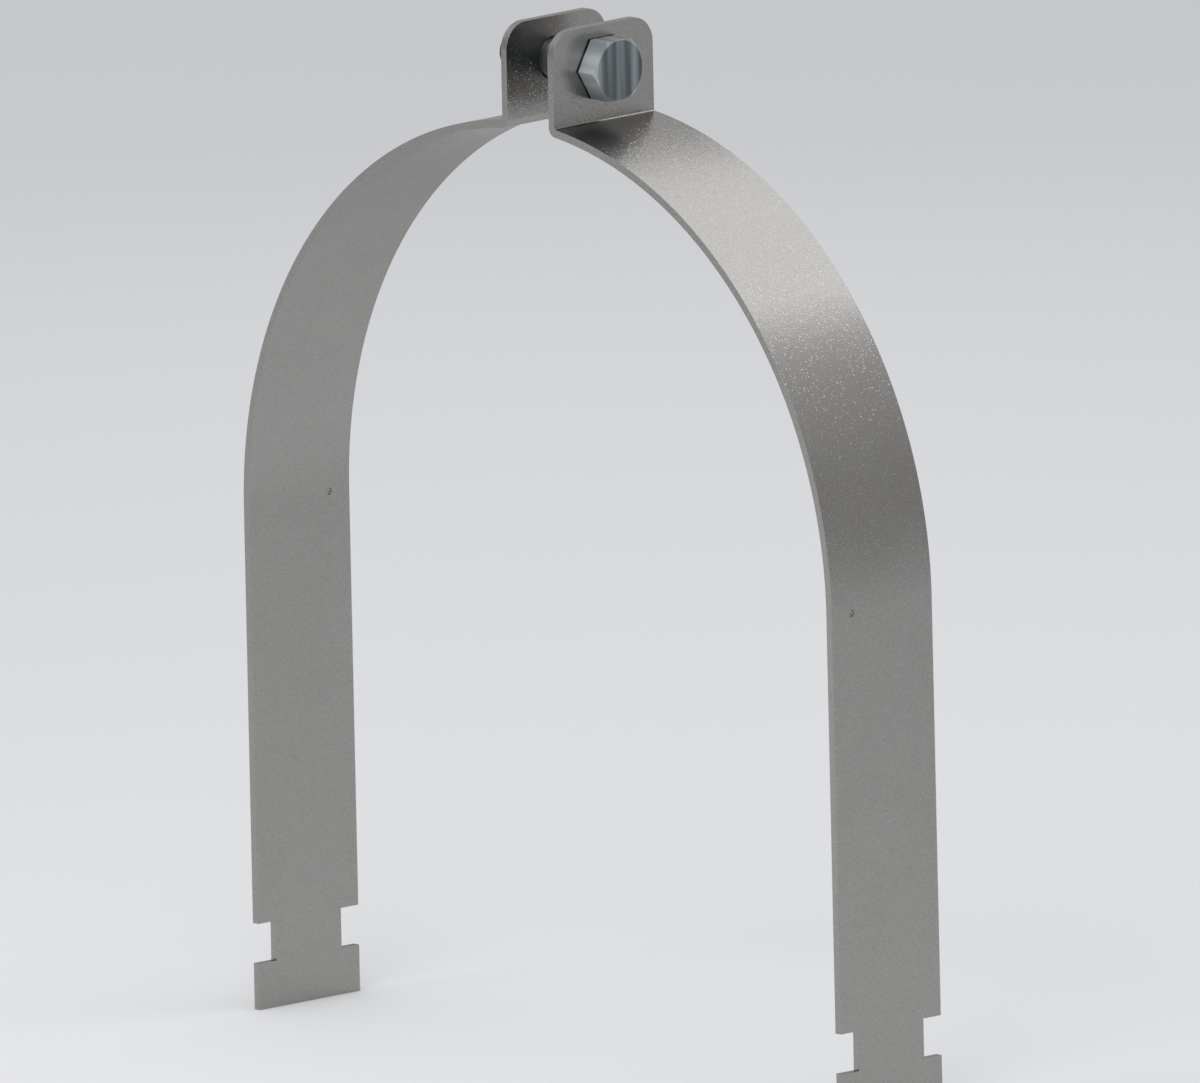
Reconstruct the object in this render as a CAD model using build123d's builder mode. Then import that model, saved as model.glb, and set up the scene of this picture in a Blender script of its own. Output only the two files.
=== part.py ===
"""Strut duct hanger: two matching bent straps, closed round a duct by one hex bolt and nut.

Millimetres. The origin is midway between the undersides of the two feet, +Z is up the legs,
+X runs from the left strap to the right strap, and Y runs across the width of the straps.
"""

import os
from math import atan2, cos, pi, radians, sin, tan

from build123d import *

# Sheet steel strap
strap_width = 31.75
strap_thickness = 1.905
leg_length = 120.4
leg_half_span = 100.65
arc_inner_radius = 103.19

# Ear that stands up at the end of each arc
ear_gap = 14.29
ear_height_above_crease = 23.05
ear_corner_radius = 6.35
ear_bend_inside_radius = 0.4
ear_hole_diameter = 11.11
ear_hole_below_top = 10.3

# T-shaped foot that hooks behind the lips of the strut
foot_height = 11.05
notch_height = 9.53
notch_depth = 5.55

# Pilot hole, on the line where the leg runs into the arc
pilot_hole_diameter = 1.6
pilot_hole_from_edge = 6.35

# Three-eighths hex bolt and nut
bolt_diameter = 9.525
bolt_length = 31.75
bolt_end_chamfer = 0.9
hex_across_flats = 14.29
head_height = 5.95
nut_height = 8.33
nut_bore_clearance = 0.05
hex_face_diameter = 14.1
hex_chamfer_angle = 30

# Places that follow from the values above
ear_inner_face = ear_gap / 2
ear_outer_face = ear_inner_face + strap_thickness
leg_outer_face = leg_half_span + strap_thickness
arc_outer_radius = arc_inner_radius + strap_thickness
arc_centre_x = leg_half_span - arc_inner_radius
notch_middle = foot_height + notch_height / 2
bolt_radius = bolt_diameter / 2
head_end = ear_outer_face + head_height
nut_end = -ear_outer_face - nut_height
hex_corner_radius = hex_across_flats / 2 / cos(pi / 6)
hex_chamfer_run = (hex_corner_radius - hex_face_diameter / 2) * tan(radians(hex_chamfer_angle))


def arc_point(radius, x):
    """The point of the strap's upper arc of this radius at x."""
    rise = (radius**2 - (x - arc_centre_x) ** 2) ** 0.5
    return (x, leg_length + rise)


def arc_middle(radius, end):
    """The point of the arc half way between the leg and its end."""
    half_angle = atan2(end[1] - leg_length, end[0] - arc_centre_x) / 2
    return (arc_centre_x + radius * cos(half_angle), leg_length + radius * sin(half_angle))


inner_bend = arc_point(arc_inner_radius, ear_inner_face)
outer_bend = arc_point(arc_outer_radius, ear_outer_face)
ear_top = outer_bend[1] + ear_height_above_crease
bolt_height = ear_top - ear_hole_below_top

# The right strap, bent from one strip
with BuildPart() as right_strap:
    with BuildSketch(Plane.XZ) as strap_profile:
        with BuildLine():
            Line((leg_half_span, 0), (leg_half_span, leg_length))
            ThreePointArc(
                (leg_half_span, leg_length), arc_middle(arc_inner_radius, inner_bend), inner_bend
            )
            Line(inner_bend, (ear_inner_face, ear_top))
            Line((ear_inner_face, ear_top), (ear_outer_face, ear_top))
            Line((ear_outer_face, ear_top), outer_bend)
            ThreePointArc(
                outer_bend, arc_middle(arc_outer_radius, outer_bend), (leg_outer_face, leg_length)
            )
            Line((leg_outer_face, leg_length), (leg_outer_face, 0))
            Line((leg_outer_face, 0), (leg_half_span, 0))
        make_face()
        fillet(
            strap_profile.vertices().sort_by_distance(Vector(outer_bend[0], outer_bend[1]))[0],
            radius=ear_bend_inside_radius,
        )
        fillet(
            strap_profile.vertices().sort_by_distance(Vector(inner_bend[0], inner_bend[1]))[0],
            radius=ear_bend_inside_radius + strap_thickness,
        )
    extrude(amount=strap_width / 2, both=True)

    # The two top corners of the ear
    ear_corners = right_strap.edges().filter_by(Axis.X).group_by(Axis.Z)[-1]
    fillet(ear_corners, radius=ear_corner_radius)

    # The notches that leave the neck of the T, cut in from both edges of the leg
    with BuildSketch(Plane.YZ.offset(leg_half_span)):
        with Locations((-strap_width / 2, notch_middle), (strap_width / 2, notch_middle)):
            Rectangle(2 * notch_depth, notch_height)
    extrude(amount=strap_thickness, mode=Mode.SUBTRACT)

    # The bolt hole through the ear
    with BuildSketch(Plane.YZ.offset(ear_inner_face)):
        with Locations((0, bolt_height)):
            Circle(ear_hole_diameter / 2)
    extrude(amount=strap_thickness, mode=Mode.SUBTRACT)

    # The pilot hole through the leg
    with BuildSketch(Plane.YZ.offset(leg_half_span)):
        with Locations((pilot_hole_from_edge - strap_width / 2, leg_length)):
            Circle(pilot_hole_diameter / 2)
    extrude(amount=strap_thickness, both=True, mode=Mode.SUBTRACT)

# The left strap is the same part, turned half a turn about the vertical
with BuildPart() as left_strap:
    add(right_strap.part.rotate(Axis.Z, 180))

# The bolt: shank from under the head, then the hexagon with its chamfered face
with BuildPart() as hex_bolt:
    with BuildSketch(Plane.YZ.offset(ear_outer_face)):
        with Locations((0, bolt_height)):
            RegularPolygon(hex_corner_radius, 6)
    extrude(amount=head_height)
    with BuildSketch(Plane.XY.offset(bolt_height)):
        with BuildLine():
            Polyline(
                (ear_outer_face, 0),
                (ear_outer_face, hex_corner_radius),
                (head_end - hex_chamfer_run, hex_corner_radius),
                (head_end, hex_face_diameter / 2),
                (head_end, 0),
                close=True,
            )
        make_face()
    revolve(axis=Axis((0, 0, bolt_height), (1, 0, 0)), mode=Mode.INTERSECT)
    with BuildSketch(Plane.YZ.offset(ear_outer_face)):
        with Locations((0, bolt_height)):
            Circle(bolt_radius)
    extrude(amount=-bolt_length)
    bolt_end = hex_bolt.faces().sort_by(Axis.X)[0].edges()
    chamfer(bolt_end, length=bolt_end_chamfer)

# The nut: a hexagon with both faces chamfered and a plain running bore
with BuildPart() as hex_nut:
    with BuildSketch(Plane.YZ.offset(-ear_outer_face)):
        with Locations((0, bolt_height)):
            RegularPolygon(hex_corner_radius, 6)
    extrude(amount=-nut_height)
    with BuildSketch(Plane.XY.offset(bolt_height)):
        with BuildLine():
            Polyline(
                (-ear_outer_face, 0),
                (-ear_outer_face, hex_face_diameter / 2),
                (-ear_outer_face - hex_chamfer_run, hex_corner_radius),
                (nut_end + hex_chamfer_run, hex_corner_radius),
                (nut_end, hex_face_diameter / 2),
                (nut_end, 0),
                close=True,
            )
        make_face()
    revolve(axis=Axis((0, 0, bolt_height), (1, 0, 0)), mode=Mode.INTERSECT)
    with BuildSketch(Plane.YZ.offset(-ear_outer_face)):
        with Locations((0, bolt_height)):
            Circle(bolt_radius + nut_bore_clearance)
    extrude(amount=-nut_height, mode=Mode.SUBTRACT)

os.makedirs("parts", exist_ok=True)

right_strap.part.label = "right_strap"
export_step(right_strap.part, "parts/right_strap.step")

left_strap.part.label = "left_strap"
export_step(left_strap.part, "parts/left_strap.step")

hex_bolt.part.label = "hex_bolt"
export_step(hex_bolt.part, "parts/hex_bolt.step")

hex_nut.part.label = "hex_nut"
export_step(hex_nut.part, "parts/hex_nut.step")
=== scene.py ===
import logging
import math
from collections.abc import Callable
from dataclasses import dataclass
from enum import Enum

import bpy
from mathutils import Matrix, Vector


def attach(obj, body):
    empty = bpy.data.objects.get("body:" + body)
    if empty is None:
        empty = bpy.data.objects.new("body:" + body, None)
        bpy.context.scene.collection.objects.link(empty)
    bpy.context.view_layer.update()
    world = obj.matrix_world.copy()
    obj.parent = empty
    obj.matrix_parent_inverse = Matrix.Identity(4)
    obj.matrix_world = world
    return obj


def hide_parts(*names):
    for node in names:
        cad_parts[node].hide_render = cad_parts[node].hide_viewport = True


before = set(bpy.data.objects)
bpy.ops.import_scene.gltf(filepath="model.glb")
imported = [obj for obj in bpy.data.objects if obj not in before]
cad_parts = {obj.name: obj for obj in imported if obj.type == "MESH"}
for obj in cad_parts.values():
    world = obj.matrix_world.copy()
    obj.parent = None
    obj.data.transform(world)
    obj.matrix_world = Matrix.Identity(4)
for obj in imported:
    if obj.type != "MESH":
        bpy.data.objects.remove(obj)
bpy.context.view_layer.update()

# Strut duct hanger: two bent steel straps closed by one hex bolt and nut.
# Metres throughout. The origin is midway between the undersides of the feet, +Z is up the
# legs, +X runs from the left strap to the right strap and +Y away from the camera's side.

LOG = logging.getLogger("strut_duct_hanger")
MM = 0.001
INCH = 25.4 * MM
HALF_TURN = math.pi
QUARTER_TURN = math.pi / 2
HEX_SIDES = 6
MERGE_DISTANCE = 0.0005 * MM  # points nearer than this become one
CUT_TOLERANCE = 0.0001 * MM  # points nearer than this to a cut lie on it
PICK_MARGIN = 0.01 * MM  # how far from its place a selected point may be

Colour = tuple[float, float, float]  # red, green and blue
Axes = tuple[float, float, float]  # one number for each of X, Y and Z
Points = list[Vector]  # the corners of an edge or a face


class Slot(Enum):
    """The record's material slot names; the pieces built here take fresh materials instead."""

    STRAP = "strap_steel"
    FASTENER = "zinc_fastener"


class Cut(Enum):
    """How one solid works on another."""

    REMOVE = "DIFFERENCE"
    KEEP_SHARED = "INTERSECT"
    WELD = "UNION"


class Element(Enum):
    """What is selected on a mesh."""

    EDGE = "EDGE"
    FACE = "FACE"


# Handling of objects


def pick_only(obj: bpy.types.Object) -> None:
    """Deselect everything, then select one object and make it active.

    Args:
        obj: The object to work on next.
    """
    bpy.ops.object.select_all(action="DESELECT")
    obj.select_set(True)
    bpy.context.view_layer.objects.active = obj


def place_mesh(obj: bpy.types.Object) -> None:
    """Move an object's place, turn and size into its mesh, so that it sits at the origin."""
    pick_only(obj)
    bpy.ops.object.transform_apply(location=True, rotation=True, scale=True)


def apply_modifiers(obj: bpy.types.Object) -> None:
    """Apply every modifier of an object, first to last.

    Args:
        obj: The object whose modifiers are applied.
    """
    pick_only(obj)
    for modifier in list(obj.modifiers):
        bpy.ops.object.modifier_apply(modifier=modifier.name)


def combine(body: bpy.types.Object, tool: bpy.types.Object, cut: Cut) -> None:
    """Work one solid on another, then delete the tool.

    Args:
        body: The solid that is kept and changed.
        tool: The solid that cuts, trims or joins it.
        cut: What the tool does to the body.
    """
    modifier = body.modifiers.new(cut.name, "BOOLEAN")
    modifier.operation = cut.value
    modifier.solver = "EXACT"
    modifier.object = tool
    apply_modifiers(body)
    bpy.data.objects.remove(tool, do_unlink=True)


def select_where(obj: bpy.types.Object, kind: Element, wanted: Callable[[Points], bool]) -> None:
    """Select edges or faces by where their corners are, and stay in edit mode.

    Args:
        obj: The object to select on.
        kind: Whether edges or faces are selected.
        wanted: Says from an element's corner points whether it is selected.
    """
    pick_only(obj)
    bpy.ops.object.mode_set(mode="EDIT")
    bpy.ops.mesh.select_mode(type=kind.value)
    bpy.ops.mesh.select_all(action="DESELECT")
    bpy.ops.object.mode_set(mode="OBJECT")
    mesh = obj.data
    points = [vertex.co for vertex in mesh.vertices]
    elements = mesh.edges if kind is Element.EDGE else mesh.polygons
    for element in elements:
        element.select = wanted([points[corner] for corner in element.vertices])
    bpy.ops.object.mode_set(mode="EDIT")


def tidy_shell(obj: bpy.types.Object) -> None:
    """Merge doubled points and turn all faces outwards.

    Args:
        obj: A closed shell.
    """
    pick_only(obj)
    bpy.ops.object.mode_set(mode="EDIT")
    bpy.ops.mesh.select_all(action="SELECT")
    bpy.ops.mesh.remove_doubles(threshold=MERGE_DISTANCE)
    bpy.ops.mesh.normals_make_consistent(inside=False)
    bpy.ops.object.mode_set(mode="OBJECT")


def break_edges(obj: bpy.types.Object, width: float, segments: int, smooth_below: float) -> None:
    """Round the sharp edges a little and shade the rest smooth.

    Args:
        obj: The finished solid.
        width: Width of the rounding.
        segments: Faces across the rounding.
        smooth_below: Angle in degrees under which neighbouring faces shade as one; edges
            that are sharper are rounded.
    """
    pick_only(obj)
    bpy.ops.object.shade_smooth_by_angle(angle=math.radians(smooth_below))
    modifier = obj.modifiers.new("rounding", "BEVEL")
    modifier.width = width
    modifier.segments = segments
    modifier.limit_method = "ANGLE"
    modifier.angle_limit = math.radians(smooth_below)
    modifier.harden_normals = True
    apply_modifiers(obj)


# Finishes


class NodeBoard:
    """The node tree of one material, with short ways to add nodes and wire them."""

    def __init__(self, name: str) -> None:
        """Start a material with a Principled shader.

        Args:
            name: The material's name.
        """
        self.material = bpy.data.materials.new(name)
        self.material.use_nodes = True
        self.tree = self.material.node_tree
        self.shader = self.tree.nodes["Principled BSDF"]

    def add(self, kind: str, **inputs: object) -> bpy.types.Node:
        """Add a node and set its inputs.

        Args:
            kind: The node's type, without the ShaderNode prefix.
            inputs: Values by input name, with underscores for spaces.

        Returns:
            The new node.
        """
        node = self.tree.nodes.new("ShaderNode" + kind)
        for name, value in inputs.items():
            node.inputs[name.replace("_", " ")].default_value = value
        return node

    def wire(self, output: bpy.types.NodeSocket, target: bpy.types.NodeSocket) -> None:
        """Connect an output to an input."""
        self.tree.links.new(output, target)

    def scalar(
        self, operation: str, first: bpy.types.NodeSocket, second: float
    ) -> bpy.types.NodeSocket:
        """Add a Math node that sets a socket against a number.

        Args:
            operation: The Math node's operation.
            first: The socket.
            second: The number.

        Returns:
            The node's output.
        """
        node = self.tree.nodes.new("ShaderNodeMath")
        node.operation = operation
        self.wire(first, node.inputs[0])
        node.inputs[1].default_value = second
        return node.outputs[0]

    def vector(
        self, operation: str, first: bpy.types.NodeSocket,
        second: bpy.types.NodeSocket | Axes | None = None,
    ) -> bpy.types.NodeSocket:
        """Add a Vector Math node; for SCALE the second value is the factor.

        Args:
            operation: The Vector Math node's operation.
            first: The vector's socket.
            second: A socket or a vector, or none where the operation takes one value.

        Returns:
            The node's vector output.
        """
        node = self.tree.nodes.new("ShaderNodeVectorMath")
        node.operation = operation
        self.wire(first, node.inputs[0])
        place = "Scale" if operation == "SCALE" else 1
        if isinstance(second, bpy.types.NodeSocket):
            self.wire(second, node.inputs[place])
        elif second is not None:
            node.inputs[place].default_value = second
        return node.outputs[0]

    def blend(
        self, amount: bpy.types.NodeSocket, low: Colour, high: Colour
    ) -> bpy.types.NodeSocket:
        """Add a colour ramp between two colours.

        Args:
            amount: What drives the ramp, from 0 to 1.
            low: The colour at 0.
            high: The colour at 1.

        Returns:
            The ramp's colour output.
        """
        ramp = self.tree.nodes.new("ShaderNodeValToRGB")
        ramp.color_ramp.elements[0].color = (*low, 1.0)
        ramp.color_ramp.elements[1].color = (*high, 1.0)
        self.wire(amount, ramp.inputs[0])
        return ramp.outputs[0]

    def spread(self, value: bpy.types.NodeSocket, low: float, high: float) -> bpy.types.NodeSocket:
        """Map a 0 to 1 value onto a range.

        Args:
            value: The socket to map.
            low: What 0 becomes.
            high: What 1 becomes.

        Returns:
            The mapped output.
        """
        node = self.add("MapRange", To_Min=low, To_Max=high)
        self.wire(value, node.inputs["Value"])
        return node.outputs[0]


@dataclass(frozen=True)
class StrapSteel:
    """Dull warm-grey sheet steel with a fine grain and small flat flecks that glint."""

    dark: Colour = (0.340, 0.331, 0.317)
    light: Colour = (0.370, 0.361, 0.347)
    cloud_scale: float = 55.0
    cloud_detail: float = 3.0
    metallic: float = 1.0
    roughness_low: float = 0.22
    roughness_high: float = 0.26
    grain_scale: float = 2600.0
    grain_detail: float = 2.0
    grain_height: float = 0.04 * MM
    fleck_scale: float = 2100.0
    fleck_size: float = 0.27
    fleck_lean: Axes = (0.50, 0.10, 0.50)
    fleck_roughness: float = 0.10
    fleck_colour: Colour = (0.44, 0.43, 0.42)
    edge_tint: Colour = (0.66, 0.66, 0.66)

    def make(self) -> bpy.types.Material:
        """Build the material.

        Returns:
            The finished material.
        """
        board = NodeBoard("dull_strap_steel")
        place = board.add("TexCoord").outputs["Object"]
        cloud = board.add("TexNoise", Scale=self.cloud_scale, Detail=self.cloud_detail)
        grain = board.add("TexNoise", Scale=self.grain_scale, Detail=self.grain_detail)
        flecks = board.add("TexVoronoi", Scale=self.fleck_scale)
        for texture in (cloud, grain, flecks):
            board.wire(place, texture.inputs["Vector"])
        on_fleck = board.scalar("LESS_THAN", flecks.outputs["Distance"], self.fleck_size)
        self.colour(board, cloud.outputs["Fac"], on_fleck)
        self.relief(board, grain.outputs["Fac"], flecks.outputs["Color"], on_fleck)
        board.shader.inputs["Metallic"].default_value = self.metallic
        board.shader.inputs["Specular Tint"].default_value = (*self.edge_tint, 1.0)
        return board.material

    def colour(
        self, board: NodeBoard, cloud: bpy.types.NodeSocket, on_fleck: bpy.types.NodeSocket
    ) -> None:
        """Set colour and roughness: clouded sheet, with paler and glossier flecks.

        Args:
            board: The material's nodes.
            cloud: A soft noise.
            on_fleck: 1 on a fleck and 0 beside it.
        """
        colour = board.add("MixRGB", Color2=(*self.fleck_colour, 1.0))
        board.wire(on_fleck, colour.inputs["Fac"])
        board.wire(board.blend(cloud, self.dark, self.light), colour.inputs["Color1"])
        board.wire(colour.outputs[0], board.shader.inputs["Base Color"])
        gloss = board.add("MapRange", To_Max=self.fleck_roughness)
        board.wire(on_fleck, gloss.inputs["Value"])
        board.wire(board.spread(cloud, self.roughness_low, self.roughness_high),
                   gloss.inputs["To Min"])
        board.wire(gloss.outputs[0], board.shader.inputs["Roughness"])

    def relief(
        self, board: NodeBoard, grain: bpy.types.NodeSocket, fleck_random: bpy.types.NodeSocket,
        on_fleck: bpy.types.NodeSocket,
    ) -> None:
        """Set the surface's direction: a fine grain, with each fleck leaning its own way.

        Args:
            board: The material's nodes.
            grain: A fine noise.
            fleck_random: Three random numbers for each fleck.
            on_fleck: 1 on a fleck and 0 beside it.
        """
        rough = board.add("Bump", Strength=1.0, Distance=self.grain_height)
        board.wire(grain, rough.inputs["Height"])
        middle = (0.5, 0.5, 0.5)
        lean = board.vector("SUBTRACT", fleck_random, middle)
        lean = board.vector("MULTIPLY", lean, self.fleck_lean)
        lean = board.vector("SCALE", lean, on_fleck)
        facet = board.vector("ADD", rough.outputs[0], lean)
        board.wire(board.vector("NORMALIZE", facet), board.shader.inputs["Normal"])


@dataclass(frozen=True)
class ZincPlate:
    """Bluish zinc plate with soft light and dark bands, side by side along Y."""

    name: str = "bright_zinc_plate"
    dark: Colour = (0.215, 0.240, 0.252)
    light: Colour = (0.430, 0.464, 0.480)
    band_scale: float = 390.0
    band_detail: float = 1.5
    band_roughness: float = 0.45
    band_stretch: Axes = (0.03, 1.0, 0.03)
    band_low: float = 0.38
    band_high: float = 0.62
    metallic: float = 0.38
    fine_scale: float = 700.0
    fine_detail: float = 2.0
    roughness_low: float = 0.22
    roughness_high: float = 0.28

    def make(self) -> bpy.types.Material:
        """Build the material.

        Returns:
            The finished material.
        """
        board = NodeBoard(self.name)
        place = board.add("TexCoord").outputs["Object"]
        lane = board.add("Mapping", Scale=self.band_stretch)
        board.wire(place, lane.inputs["Vector"])
        bands = board.add(
            "TexNoise", Scale=self.band_scale, Detail=self.band_detail,
            Roughness=self.band_roughness)
        fine = board.add("TexNoise", Scale=self.fine_scale, Detail=self.fine_detail)
        board.wire(lane.outputs[0], bands.inputs["Vector"])
        board.wire(place, fine.inputs["Vector"])
        firm = board.add("MapRange", From_Min=self.band_low, From_Max=self.band_high)
        board.wire(bands.outputs["Fac"], firm.inputs["Value"])
        board.wire(board.blend(firm.outputs[0], self.dark, self.light),
                   board.shader.inputs["Base Color"])
        board.wire(board.spread(fine.outputs["Fac"], self.roughness_low, self.roughness_high),
                   board.shader.inputs["Roughness"])
        board.shader.inputs["Metallic"].default_value = self.metallic
        return board.material


@dataclass(frozen=True)
class ShadedZincPlate(ZincPlate):
    """The same plate, darker: painted shade on end faces, threads and bores."""

    name: str = "zinc_plate_painted_shade"
    # darker copies of the plate's colours: painted shade
    dark: Colour = (0.085, 0.100, 0.108)
    light: Colour = (0.280, 0.310, 0.325)


@dataclass(frozen=True)
class PaleFloor:
    """Plain pale studio floor."""

    dark: Colour = (0.750, 0.757, 0.768)
    light: Colour = (0.780, 0.787, 0.798)
    cloud_scale: float = 0.7
    cloud_detail: float = 1.0
    roughness: float = 0.9
    gloss: float = 0.1

    def make(self) -> bpy.types.Material:
        """Build the material.

        Returns:
            The finished material.
        """
        board = NodeBoard("pale_floor")
        place = board.add("TexCoord").outputs["Object"]
        cloud = board.add("TexNoise", Scale=self.cloud_scale, Detail=self.cloud_detail)
        board.wire(place, cloud.inputs["Vector"])
        board.wire(board.blend(cloud.outputs["Fac"], self.dark, self.light),
                   board.shader.inputs["Base Color"])
        board.shader.inputs["Roughness"].default_value = self.roughness
        board.shader.inputs["Specular IOR Level"].default_value = self.gloss
        return board.material


# The object


@dataclass
class StrapPair:
    """The two straps: leg, arc, ear, notched foot and holes, one turned half round."""

    width: float = 31.75 * MM
    thickness: float = 1.905 * MM
    leg_length: float = 120.4 * MM
    leg_half_span: float = 100.65 * MM
    arc_inner_radius: float = 103.19 * MM
    arc_steps: int = 72
    ear_gap: float = 14.29 * MM
    ear_height: float = 23.05 * MM
    ear_corner_radius: float = 6.35 * MM
    ear_corner_steps: int = 12
    bend_inside_radius: float = 0.4 * MM
    bend_steps: int = 12
    ear_hole_diameter: float = 11.11 * MM
    ear_hole_below_top: float = 10.3 * MM
    ear_hole_steps: int = 72
    foot_height: float = 11.05 * MM
    notch_height: float = 9.53 * MM
    notch_depth: float = 5.55 * MM
    pilot_diameter: float = 1.6 * MM
    pilot_from_edge: float = 6.35 * MM
    pilot_steps: int = 28
    edge_rounding: float = 0.08 * MM
    edge_steps: int = 2
    smooth_below: float = 30.0

    @property
    def outer_face(self) -> float:
        """X of the leg's outer face."""
        return self.leg_half_span + self.thickness

    @property
    def ear_face(self) -> float:
        """X of the ear's outer face, under the bolt head."""
        return self.ear_gap / 2 + self.thickness

    @property
    def arc_centre(self) -> Vector:
        """Centre of the right strap's arc."""
        return Vector((self.leg_half_span - self.arc_inner_radius, 0.0, self.leg_length))

    @property
    def bend_centre(self) -> Vector:
        """Find the centre of the bend between arc and ear.

        Returns:
            The centre, above the sheet and outside the ear.
        """
        x = self.ear_face + self.bend_inside_radius
        reach = self.arc_inner_radius + self.thickness + self.bend_inside_radius
        rise = math.sqrt(reach**2 - (x - self.arc_centre.x) ** 2)
        return Vector((x, 0.0, self.leg_length + rise))

    @property
    def ear_top(self) -> float:
        """Find the height of the ear's upper edge, measured up from its crease.

        Returns:
            Z of the edge.
        """
        radius = self.arc_inner_radius + self.thickness
        crease = math.sqrt(radius**2 - (self.ear_face - self.arc_centre.x) ** 2)
        return self.leg_length + crease + self.ear_height

    @property
    def bolt_height(self) -> float:
        """Z of the bolt's axis."""
        return self.ear_top - self.ear_hole_below_top

    def bend_strip(self) -> bpy.types.Object:
        """Draw the right strap's outer face from the foot up to the ear's top.

        Returns:
            The face as an open sheet without thickness.
        """
        half = self.width / 2
        bpy.ops.mesh.primitive_plane_add(
            size=self.width, location=(self.outer_face, 0, half), rotation=(0, QUARTER_TURN, 0))
        strip = bpy.context.active_object
        place_mesh(strip)
        select_where(strip, Element.EDGE, lambda ends: all(p.z > half for p in ends))
        bpy.ops.transform.translate(value=(0, 0, self.leg_length - self.width))
        toward = self.bend_centre - self.arc_centre
        sweep = math.atan2(toward.z, toward.x)
        bpy.ops.mesh.spin(
            steps=self.arc_steps, angle=sweep, center=self.arc_centre, axis=(0, 1, 0))
        bpy.ops.mesh.spin(
            steps=self.bend_steps, angle=sweep, center=self.bend_centre, axis=(0, -1, 0))
        rise = self.ear_top - self.bend_centre.z
        bpy.ops.mesh.extrude_region_move(TRANSFORM_OT_translate={"value": (0, 0, rise)})
        bpy.ops.object.mode_set(mode="OBJECT")
        return strip

    def thicken(self, strip: bpy.types.Object) -> None:
        """Give the sheet its thickness, inwards from its outer face.

        Args:
            strip: The open sheet.
        """
        tidy_shell(strip)
        outward = max(strip.data.polygons, key=lambda face: face.center.x).normal.x
        modifier = strip.modifiers.new("thickness", "SOLIDIFY")
        modifier.thickness = self.thickness
        modifier.offset = -1.0 if outward > 0 else 1.0
        modifier.use_even_offset = True
        apply_modifiers(strip)
        tidy_shell(strip)

    def round_ear(self, strap: bpy.types.Object) -> None:
        """Round the ear's two upper corners.

        Args:
            strap: The thick strap.
        """
        edge_of_width = self.width / 2 - PICK_MARGIN
        top = self.ear_top - PICK_MARGIN
        select_where(
            strap, Element.EDGE,
            lambda ends: all(p.z > top and abs(p.y) > edge_of_width for p in ends)
            and abs(ends[0].y - ends[1].y) < self.thickness)
        bpy.ops.mesh.bevel(
            offset=self.ear_corner_radius, segments=self.ear_corner_steps, affect="EDGES")
        bpy.ops.object.mode_set(mode="OBJECT")

    def notch(self, strap: bpy.types.Object, side: int) -> None:
        """Cut one of the foot's notches.

        Args:
            strap: The thick strap.
            side: 1 for the notch on the +Y edge, -1 for the one on the -Y edge.
        """
        middle = self.foot_height + self.notch_height / 2
        bpy.ops.mesh.primitive_cube_add(
            size=self.notch_height, location=(self.outer_face, side * self.width / 2, middle))
        cutter = bpy.context.active_object
        cutter.scale.y = 2 * self.notch_depth / self.notch_height
        place_mesh(cutter)
        combine(strap, cutter, Cut.REMOVE)

    def drill(self, strap: bpy.types.Object, diameter: float, steps: int, centre: Vector) -> None:
        """Drill a hole along X through the sheet.

        Args:
            strap: The thick strap.
            diameter: The hole's diameter.
            steps: Faces round the hole.
            centre: A point on its axis, near the sheet.
        """
        well_through = 4 * self.thickness
        bpy.ops.mesh.primitive_cylinder_add(
            vertices=steps, radius=diameter / 2, depth=well_through, location=centre,
            rotation=(0, QUARTER_TURN, 0))
        combine(strap, bpy.context.active_object, Cut.REMOVE)

    def pierce(self, strap: bpy.types.Object) -> None:
        """Cut the foot's notches, the bolt hole and the pilot hole.

        Args:
            strap: The thick strap.
        """
        for side in (-1, 1):
            self.notch(strap, side)
        bolt_hole = Vector((self.ear_face - self.thickness / 2, 0, self.bolt_height))
        self.drill(strap, self.ear_hole_diameter, self.ear_hole_steps, bolt_hole)
        pilot_hole = Vector(
            (self.outer_face, self.pilot_from_edge - self.width / 2, self.leg_length))
        self.drill(strap, self.pilot_diameter, self.pilot_steps, pilot_hole)

    def build(self, finish: bpy.types.Material) -> None:
        """Make both straps and put them on their bodies.

        Args:
            finish: The sheet steel.
        """
        right = self.bend_strip()
        self.thicken(right)
        self.round_ear(right)
        self.pierce(right)
        tidy_shell(right)
        break_edges(right, self.edge_rounding, self.edge_steps, self.smooth_below)
        right.name = "right_strap_sheet"
        right.data.materials.clear()
        right.data.materials.append(finish)
        pick_only(right)
        bpy.ops.object.duplicate(linked=False)
        left = bpy.context.active_object
        left.name = "left_strap_sheet"
        left.rotation_euler.z = HALF_TURN
        place_mesh(left)

        for sheet, node in ((right, "right_strap"), (left, "left_strap")):
            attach(sheet, node)
            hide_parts(node)
            LOG.info("%s: %d faces", sheet.name, len(sheet.data.polygons))


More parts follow.
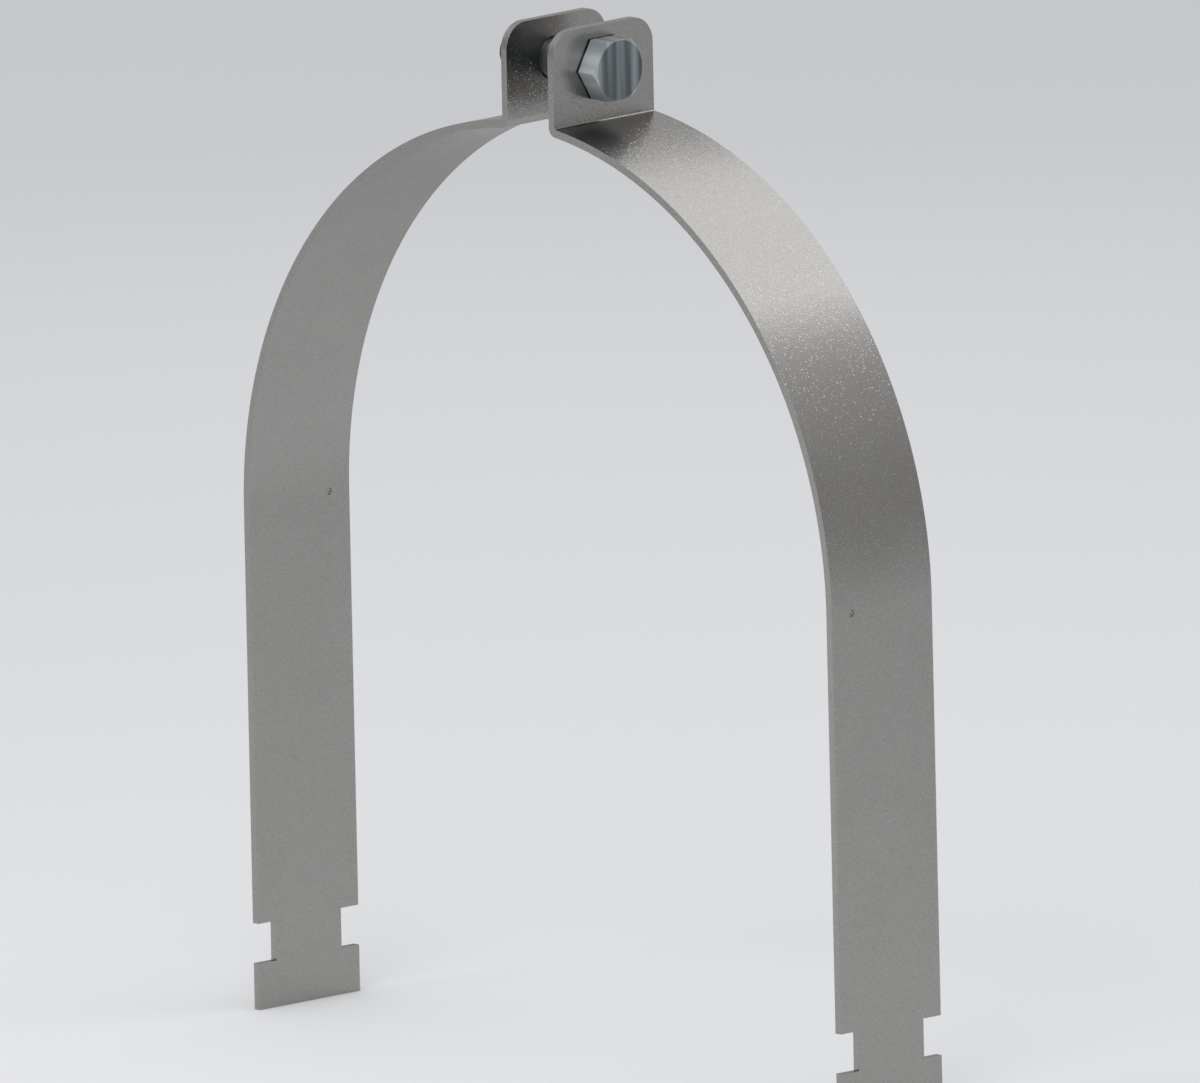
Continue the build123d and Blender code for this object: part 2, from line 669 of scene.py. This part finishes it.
@dataclass
class Thread:
    """The coarse three-eighths thread that bolt and nut share, 16 to the inch."""

    major_diameter: float = 9.525 * MM
    pitch: float = INCH / 16
    steps: int = 48
    crest_share: float = 0.125
    root_share: float = 0.25

    @property
    def depth(self) -> float:
        """Radial depth of the 60 degree groove."""
        flank = (1 - self.crest_share - self.root_share) / 2 * self.pitch
        return flank * math.sqrt(3)

    @property
    def plain_radius(self) -> float:
        """Radius of a plain shank beside the thread, a third of its depth below the crests."""
        return self.major_diameter / 2 - self.depth / 3

    def outline(self, start: float, root_height: float) -> bpy.types.Object:
        """Draw one pitch of the thread's outline: root, flank, crest and flank, along X.

        Args:
            start: X of the outline's left end.
            root_height: Z of the root above the axis.

        Returns:
            The outline as a line of edges.
        """
        root, crest = self.root_share * self.pitch, self.crest_share * self.pitch
        flank = (self.pitch - root - crest) / 2
        bpy.ops.mesh.primitive_plane_add(size=self.pitch)
        line = bpy.context.active_object
        pick_only(line)
        bpy.ops.object.mode_set(mode="EDIT")
        bpy.ops.mesh.select_mode(type="VERT")
        bpy.ops.mesh.select_all(action="SELECT")
        bpy.ops.mesh.merge(type="CENTER")
        bpy.ops.transform.translate(value=(start, 0, root_height))
        for along, out in ((root, 0.0), (flank, self.depth), (crest, 0.0), (flank, -self.depth)):
            bpy.ops.mesh.extrude_region_move(
                TRANSFORM_OT_translate={"value": (along, 0, out)})
        bpy.ops.object.mode_set(mode="OBJECT")
        return line

    def cut_end(self, rod: bpy.types.Object, place: float, outward: int, height: float) -> None:
        """Cut a rod off square and close the cut.

        Args:
            rod: The threaded rod.
            place: X of the cut.
            outward: 1 where the part right of the cut goes, -1 for the part left of it.
            height: Z of the rod's axis.
        """
        pick_only(rod)
        bpy.ops.object.mode_set(mode="EDIT")
        bpy.ops.mesh.select_all(action="SELECT")
        bpy.ops.mesh.remove_doubles(threshold=MERGE_DISTANCE)
        bpy.ops.mesh.bisect(
            plane_co=(place, 0, height), plane_no=(outward, 0, 0), use_fill=True,
            clear_outer=True, clear_inner=False, threshold=CUT_TOLERANCE)
        bpy.ops.object.mode_set(mode="OBJECT")

    def rod(self, low: float, high: float, height: float, ease: float) -> bpy.types.Object:
        """Make a threaded rod along X whose phase is the same wherever it is cut.

        The screw winds the outline about the world's X axis, so the mesh goes down to that
        axis before it and back up to its own height after it.

        Args:
            low: X of its left end.
            high: X of its right end.
            height: Z of its axis.
            ease: How much larger its radius is than the bolt's.

        Returns:
            The closed rod.
        """
        start = (math.floor(low / self.pitch) - 1) * self.pitch
        root_radius = self.major_diameter / 2 + ease - self.depth
        rod = self.outline(start, height + root_radius)
        rod.data.transform(Matrix.Translation((0, 0, -height)))
        modifier = rod.modifiers.new("helix", "SCREW")
        modifier.axis = "X"
        modifier.angle = math.tau
        modifier.screw_offset = self.pitch
        modifier.iterations = math.ceil((high - start) / self.pitch) + 1
        modifier.steps = modifier.render_steps = self.steps
        modifier.use_merge_vertices = True
        modifier.merge_threshold = 2 * MERGE_DISTANCE
        apply_modifiers(rod)
        rod.data.transform(Matrix.Translation((0, 0, height)))
        self.cut_end(rod, low, -1, height)
        self.cut_end(rod, high, 1, height)
        tidy_shell(rod)
        return rod


@dataclass
class HexFastener:
    """Shared sizes and forming of the bolt's head and of the nut."""

    axis_height: float
    seat: float
    across_flats: float = 14.29 * MM
    face_diameter: float = 14.1 * MM
    chamfer_angle: float = 30.0
    round_steps: int = 96
    edge_rounding: float = 0.18 * MM
    edge_steps: int = 3
    smooth_below: float = 24.0
    # Faces nearer the axis than thread_reach, or facing along X more than end_facing, take the
    # darker plate, painted shade.
    thread_reach: float = 5.5 * MM
    end_facing: float = 0.95

    @property
    def corner_radius(self) -> float:
        """Radius of the circle through the hexagon's corners."""
        return self.across_flats / 2 / math.cos(math.pi / HEX_SIDES)

    @property
    def chamfer_run(self) -> float:
        """Length along the axis of the chamfer, from the face to the corners."""
        rise = self.corner_radius - self.face_diameter / 2
        return rise * math.tan(math.radians(self.chamfer_angle))

    def turned(self, low: float, high: float, radius: float, sides: int) -> bpy.types.Object:
        """Add a prism along X.

        Args:
            low: X of its left end.
            high: X of its right end.
            radius: Radius of its corners.
            sides: How many sides it has.

        Returns:
            The prism.
        """
        bpy.ops.mesh.primitive_cylinder_add(
            vertices=sides, radius=radius, depth=high - low,
            location=((low + high) / 2, 0, self.axis_height), rotation=(0, QUARTER_TURN, 0))
        prism = bpy.context.active_object
        place_mesh(prism)
        return prism

    def taper(self, obj: bpy.types.Object, end: float, run: float, share: float) -> None:
        """Extrude one end face of a prism and narrow it, as a chamfer.

        Args:
            obj: The prism.
            end: X of the face.
            run: How far the face moves, with its sign along X.
            share: The new face's radius as a share of the old one.
        """
        select_where(
            obj, Element.FACE, lambda corners: all(abs(p.x - end) < PICK_MARGIN for p in corners))
        bpy.ops.mesh.extrude_region_move(TRANSFORM_OT_translate={"value": (run, 0, 0)})
        bpy.ops.transform.resize(
            value=(1, share, share), center_override=(end + run, 0, self.axis_height))
        bpy.ops.object.mode_set(mode="OBJECT")

    def hexagon(self, low: float, high: float, both_ends: bool) -> bpy.types.Object:
        """Make a hexagon with its right face chamfered, or both.

        Args:
            low: X of its left face.
            high: X of its right face.
            both_ends: Whether the left face is chamfered too.

        Returns:
            The closed hexagon.
        """
        share = self.face_diameter / 2 / self.corner_radius
        left = low + self.chamfer_run if both_ends else low
        right = high - self.chamfer_run
        envelope = self.turned(left, right, self.corner_radius, self.round_steps)
        if both_ends:
            self.taper(envelope, left, -self.chamfer_run, share)
        self.taper(envelope, right, self.chamfer_run, share)
        hexagon = self.turned(low, high, self.corner_radius, HEX_SIDES)
        select_where(
            hexagon, Element.EDGE, lambda ends: abs(ends[0].x - ends[1].x) > PICK_MARGIN)
        bpy.ops.mesh.bevel(
            offset=self.edge_rounding, segments=self.edge_steps, affect="EDGES")
        bpy.ops.object.mode_set(mode="OBJECT")
        combine(hexagon, envelope, Cut.KEEP_SHARED)
        return hexagon

    def dress(
        self, piece: bpy.types.Object, node: str, sides: bpy.types.Material,
        ends: bpy.types.Material,
    ) -> None:
        """Finish a fastener and put it on its body.

        Args:
            piece: The closed solid.
            node: The CAD node and body that it stands for.
            sides: The plate on the hexagon's flats and chamfers.
            ends: The darker plate, painted shade on end faces, thread and bore.
        """
        tidy_shell(piece)
        pick_only(piece)
        bpy.ops.object.shade_smooth_by_angle(angle=math.radians(self.smooth_below))
        modifier = piece.modifiers.new("flat_flats", "WEIGHTED_NORMAL")
        modifier.keep_sharp = True
        apply_modifiers(piece)
        piece.name = node + "_machined"
        piece.data.materials.clear()
        piece.data.materials.append(sides)
        piece.data.materials.append(ends)
        # Faces on the ends, the thread and the bore take the darker plate, painted shade.
        for face in piece.data.polygons:
            from_axis = math.hypot(face.center.y, face.center.z - self.axis_height)
            on_end = abs(face.normal.x) > self.end_facing
            face.material_index = int(on_end or from_axis < self.thread_reach)
        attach(piece, node)
        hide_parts(node)
        LOG.info("%s: %d faces", piece.name, len(piece.data.polygons))


@dataclass
class HexBolt(HexFastener):
    """The bolt: chamfered head with a washer face, and a threaded shank."""

    head_height: float = 5.95 * MM
    washer_diameter: float = 13.5 * MM
    washer_height: float = 0.4 * MM
    length: float = 31.75 * MM
    end_chamfer: float = 0.9 * MM
    plain_length: float = 2.2 * MM
    trim_margin: float = 0.02 * MM

    def build(
        self, thread: Thread, sides: bpy.types.Material, ends: bpy.types.Material
    ) -> None:
        """Make the bolt.

        Args:
            thread: The thread on the shank.
            sides: The plate on the head's flats and chamfer.
            ends: The darker plate, painted shade on its end faces and shank.
        """
        radius = thread.major_diameter / 2
        end = self.seat - self.length
        shank = thread.rod(end, self.seat - self.plain_length, self.axis_height, 0.0)
        trim = self.turned(
            end + self.end_chamfer, self.seat, radius + self.trim_margin, self.round_steps)
        self.taper(trim, end + self.end_chamfer, -self.end_chamfer, 1 - self.end_chamfer / radius)
        combine(shank, trim, Cut.KEEP_SHARED)
        neck = self.turned(
            self.seat - self.plain_length - thread.pitch / 2, self.seat + self.washer_height,
            thread.plain_radius, self.round_steps)
        combine(shank, neck, Cut.WELD)
        head = self.hexagon(
            self.seat + self.washer_height, self.seat + self.head_height, both_ends=False)
        washer = self.turned(
            self.seat, self.seat + 2 * self.washer_height, self.washer_diameter / 2,
            self.round_steps)
        combine(head, washer, Cut.WELD)
        combine(head, shank, Cut.WELD)
        self.dress(head, "hex_bolt", sides, ends)


@dataclass
class HexNut(HexFastener):
    """The nut: a hexagon with both faces chamfered and a threaded bore."""

    nut_height: float = 8.33 * MM
    thread_ease: float = 0.07 * MM
    countersink: float = 0.8 * MM
    countersink_margin: float = 0.05 * MM

    def build(
        self, thread: Thread, sides: bpy.types.Material, ends: bpy.types.Material
    ) -> None:
        """Make the nut.

        Args:
            thread: The thread in the bore.
            sides: The plate on the flats and chamfers.
            ends: The darker plate, painted shade on the end faces and in the bore.
        """
        high = -self.seat
        low = high - self.nut_height
        nut = self.hexagon(low, high, both_ends=True)
        tap = thread.rod(
            low - thread.pitch, high + thread.pitch, self.axis_height, self.thread_ease)
        combine(nut, tap, Cut.REMOVE)
        wide = thread.major_diameter / 2 + self.thread_ease + self.countersink_margin
        for face, way in ((low, 1), (high, -1)):
            below, above = sorted((face - way * self.countersink, face))
            cone = self.turned(below, above, wide, self.round_steps)
            self.taper(cone, face, way * self.countersink, 1 - self.countersink / wide)
            combine(nut, cone, Cut.REMOVE)
        self.dress(nut, "hex_nut", sides, ends)


# The studio


@dataclass
class Lamp:
    """One soft rectangular lamp that faces the hanger."""

    name: str
    direction: Axes
    distance: float
    width: float
    height: float
    power: float

    def hang(self, target: Vector) -> None:
        """Hang the lamp.

        Args:
            target: The point that it faces.
        """
        way = Vector(self.direction).normalized()
        bpy.ops.object.light_add(type="AREA", location=target + way * self.distance)
        lamp = bpy.context.active_object
        lamp.name = self.name
        lamp.rotation_euler = way.to_track_quat("Z", "Y").to_euler()
        lamp.data.shape = "RECTANGLE"
        lamp.data.size = self.width
        lamp.data.size_y = self.height
        lamp.data.energy = self.power
        lamp.visible_camera = False


@dataclass
class Studio:
    """Pale floor, even surroundings, soft lamps and the photograph's parallel camera."""

    centre_height: float = 124.0 * MM
    floor_size: float = 14.0
    floor_drop: float = 0.02 * MM
    surround: Colour = (0.74, 0.745, 0.76)
    horizon: Colour = (0.43, 0.433, 0.436)
    horizon_up_to: float = 0.28
    surround_from: float = 0.65
    image_width: int = 1200
    pixels_per_mm: float = 4.2608
    image_right: Axes = (0.67284, 0.73947, -0.02139)
    image_down: Axes = (0.12767, -0.14455, -0.98123)
    toward_camera: Axes = (0.72869, -0.65748, 0.19167)
    view_offset_right: float = 2.8587 * MM
    view_offset_up: float = 2.4149 * MM
    camera_distance: float = 1.6
    nearest_seen: float = 0.05
    farthest_seen: float = 40.0

    def lay_floor(self) -> None:
        """Lay the floor just under the feet."""
        bpy.ops.mesh.primitive_plane_add(size=self.floor_size, location=(0, 0, -self.floor_drop))
        floor = bpy.context.active_object
        place_mesh(floor)
        floor.name = "floor"
        floor.data.materials.append(PaleFloor().make())
        LOG.info("%s: %.0f m wide", floor.name, self.floor_size)

    def surround_with_light(self) -> None:
        """Set the even surroundings, darker towards the horizon."""
        world = bpy.data.worlds.new("studio")
        bpy.context.scene.world = world
        world.use_nodes = True
        tree = world.node_tree
        direction = tree.nodes.new("ShaderNodeTexCoord")
        parts = tree.nodes.new("ShaderNodeSeparateXYZ")
        rise = tree.nodes.new("ShaderNodeMapRange")
        rise.inputs["From Min"].default_value = self.horizon_up_to
        rise.inputs["From Max"].default_value = self.surround_from
        ramp = tree.nodes.new("ShaderNodeValToRGB")
        ramp.color_ramp.elements[0].color = (*self.horizon, 1.0)
        ramp.color_ramp.elements[1].color = (*self.surround, 1.0)
        tree.links.new(direction.outputs["Generated"], parts.inputs[0])
        tree.links.new(parts.outputs["Z"], rise.inputs["Value"])
        tree.links.new(rise.outputs[0], ramp.inputs[0])
        tree.links.new(ramp.outputs[0], tree.nodes["Background"].inputs["Color"])

    def hang_lamps(self) -> None:
        """Hang the large soft lamps, and two small ones that the steel's flecks glint from."""
        target = Vector((0, 0, self.centre_height))
        for lamp in (
            Lamp("lamp_high_behind", (0.03, 0.66, 0.74), distance=0.9, width=0.76,
                 height=0.5, power=1.05),
            Lamp("lamp_front", (0.17, -0.77, 0.62), distance=1.1, width=1.2,
                 height=1.0, power=7.4),
            Lamp("lamp_left_behind", (-0.72, 0.62, 0.36), distance=1.0, width=0.5,
                 height=0.5, power=0.2),
            Lamp("lamp_sparkle_right", (0.30, 0.66, 0.69), distance=1.0, width=0.035,
                 height=0.035, power=0.024),
            Lamp("lamp_sparkle_left", (-0.44, 0.66, 0.61), distance=1.0, width=0.035,
                 height=0.035, power=0.014),
        ):
            lamp.hang(target)
            LOG.info("%s: %.3f W", lamp.name, lamp.power)

    def set_camera(self, level: float) -> None:
        """Put up the camera of the photograph.

        Args:
            level: Z of the line where the legs run into the arcs.
        """
        right, down, back = map(Vector, (self.image_right, self.image_down, self.toward_camera))
        turn = Matrix((right, -down, back)).transposed()
        centre = Vector((0, 0, level)) + right * self.view_offset_right - down * self.view_offset_up
        bpy.ops.object.camera_add(location=centre + back * self.camera_distance)
        camera = bpy.context.active_object
        camera.rotation_euler = turn.to_euler()
        camera.data.type = "ORTHO"
        camera.data.ortho_scale = self.image_width / self.pixels_per_mm * MM
        camera.data.clip_start = self.nearest_seen
        camera.data.clip_end = self.farthest_seen
        bpy.context.scene.camera = camera

    def build(self, level: float) -> None:
        """Build the studio.

        Args:
            level: Z of the line where the legs run into the arcs.
        """
        self.lay_floor()
        self.surround_with_light()
        self.hang_lamps()
        self.set_camera(level)
        bpy.context.scene.view_settings.view_transform = "Standard"


def main() -> None:
    """Build the hanger and its studio."""
    logging.basicConfig(level=logging.INFO, format="%(name)s: %(message)s")
    straps = StrapPair()
    straps.build(StrapSteel().make())
    thread = Thread()
    sides = ZincPlate().make()
    # the darker plate is painted shade on end faces, thread and bore
    ends = ShadedZincPlate().make()
    HexBolt(straps.bolt_height, straps.ear_face).build(thread, sides, ends)
    HexNut(straps.bolt_height, straps.ear_face).build(thread, sides, ends)
    Studio().build(straps.leg_length)


if __name__ == "__main__":
    main()
